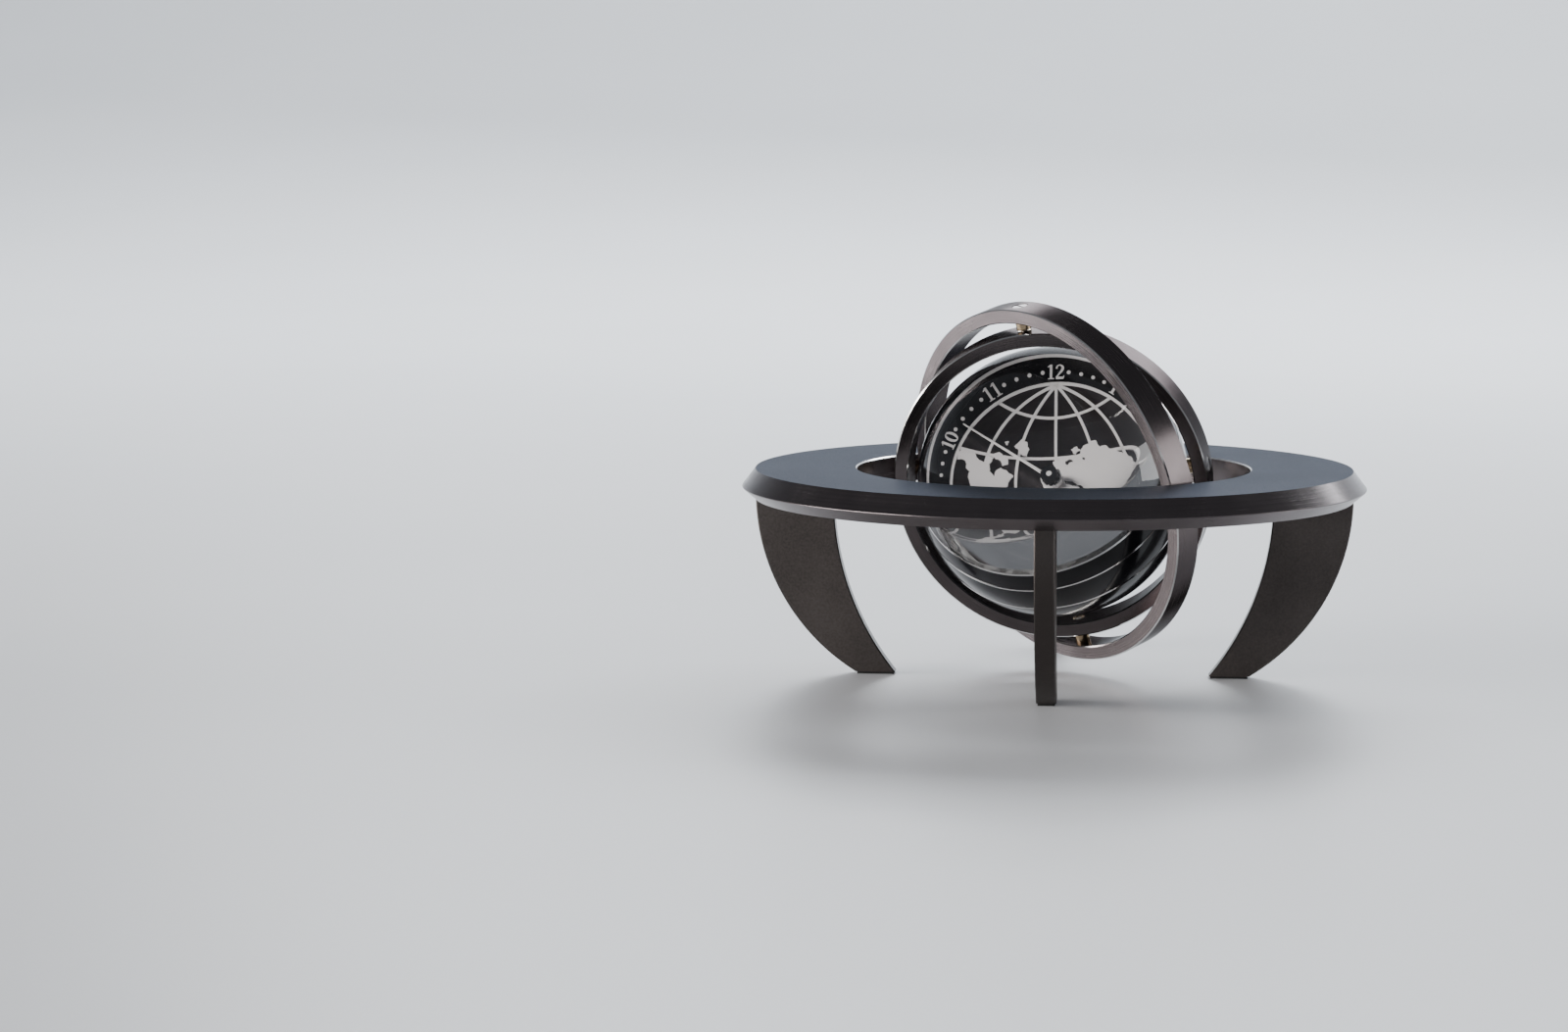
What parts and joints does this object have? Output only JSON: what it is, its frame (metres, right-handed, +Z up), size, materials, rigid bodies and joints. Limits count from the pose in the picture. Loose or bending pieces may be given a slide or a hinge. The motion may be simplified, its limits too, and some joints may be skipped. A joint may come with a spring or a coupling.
{
  "type": "desktop globe clock on gimbal stand",
  "caption": "Desk clock in a ball with a clear glass dome over a globe-map dial, hung in two nested gimbal rings inside a flat table ring on crescent-shaped legs.",
  "frame": {"origin": "on the surface the feet stand on, under the centre of the table ring", "axes": "+Z up, -Y the way the front leg points, +X to the right as seen from the front"},
  "size_m": [0.16, 0.16, 0.097],
  "materials": {
    "ring_steel": "satin, fine bead blast on the top, brushed on the chamfers",
    "leg_steel": "bead blasted faces with polished edges",
    "gimbal_steel": "fine circular brushing with bright edges",
    "pivot_steel": "turned",
    "pivot_brass": "turned",
    "pad_rubber": "matt",
    "gasket_pale": "moulded",
    "shell_black": "high gloss lacquer",
    "bright_line": "bright turned",
    "dome_glass": "polished",
    "dial_black": "satin",
    "dial_silver": "brushed",
    "movement_plastic": "moulded",
    "battery_metal": "bright",
    "hand_silver": "satin",
    "dial_print": "screen-printed ink",
    "nut_black": "gloss"
  },
  "bodies": {
    "stand": {"table_ring": "ring_steel", "leg_front": "leg_steel", "leg_right": "leg_steel", "leg_back": "leg_steel", "leg_left": "leg_steel", "leg_studs": "pivot_steel", "foot_pads": "pad_rubber", "ring_pivot_pins": "pivot_steel", "ring_pivot_collars": "pivot_brass"},
    "outer_gimbal": {"outer_gimbal_ring": "gimbal_steel", "outer_ring_bushes": "pivot_brass", "outer_pivot_screws": "pivot_steel", "outer_pivot_collars": "pivot_brass"},
    "inner_gimbal": {"inner_gimbal_ring": "gimbal_steel", "inner_ring_bushes": "pivot_brass", "inner_pivot_screws": "pivot_steel", "inner_pivot_collars": "pivot_brass"},
    "clock_ball": {"rear_shell": "shell_black", "shell_inlays": "bright_line", "bezel_ring": "bright_line", "ball_bushes": "pivot_brass", "glass_dome": "dome_glass", "glass_gasket": "gasket_pale", "dial_surround": "dial_black", "dial_plate": "dial_silver", "chapter_ring": "dial_black", "movement_holder": "movement_plastic", "movement_case": "movement_plastic", "movement_screws": "pivot_steel", "battery": "battery_metal", "rear_cap": "shell_black"},
    "hour_works": {"hour_hand": "hand_silver", "hour_pipe": "pivot_brass"},
    "minute_works": {"minute_hand": "hand_silver", "minute_arbor": "pivot_steel", "hand_nut": "nut_black"},
    "setting_wheel_body": {"setting_wheel": "movement_plastic"}
  },
  "joints": [
    {"name": "outer_gimbal_turn", "type": "hinge", "parent": "stand", "child": "outer_gimbal", "pos_m": [0, 0, 0.05025], "axis": [0.7071, -0.7071, 0], "continuous": true},
    {"name": "inner_gimbal_turn", "type": "hinge", "parent": "outer_gimbal", "child": "inner_gimbal", "pos_m": [0, 0, 0.05025], "axis": [-0.1806, -0.1806, 0.9668], "continuous": true},
    {"name": "ball_turn", "type": "hinge", "parent": "inner_gimbal", "child": "clock_ball", "pos_m": [0, 0, 0.05025], "axis": [0.9703, -0.1938, 0.1451], "continuous": true},
    {"name": "minute_turn", "type": "hinge", "parent": "clock_ball", "child": "minute_works", "pos_m": [0, 0, 0.05025], "axis": [0.242, 0.7614, -0.6014], "continuous": true},
    {"name": "hour_turn", "type": "hinge", "parent": "clock_ball", "child": "hour_works", "pos_m": [0, 0, 0.05025], "axis": [0.242, 0.7614, -0.6014], "continuous": true},
    {"name": "setting_turn", "type": "hinge", "parent": "clock_ball", "child": "setting_wheel_body", "pos_m": [-0.00922, 0.00184, 0.04887], "axis": [0.242, 0.7614, -0.6014], "continuous": true}
  ],
  "couplings": [
    {"joint": "hour_turn", "follows": "minute_turn", "ratio": 0.083333},
    {"joint": "setting_turn", "follows": "minute_turn", "ratio": -1}
  ]
}
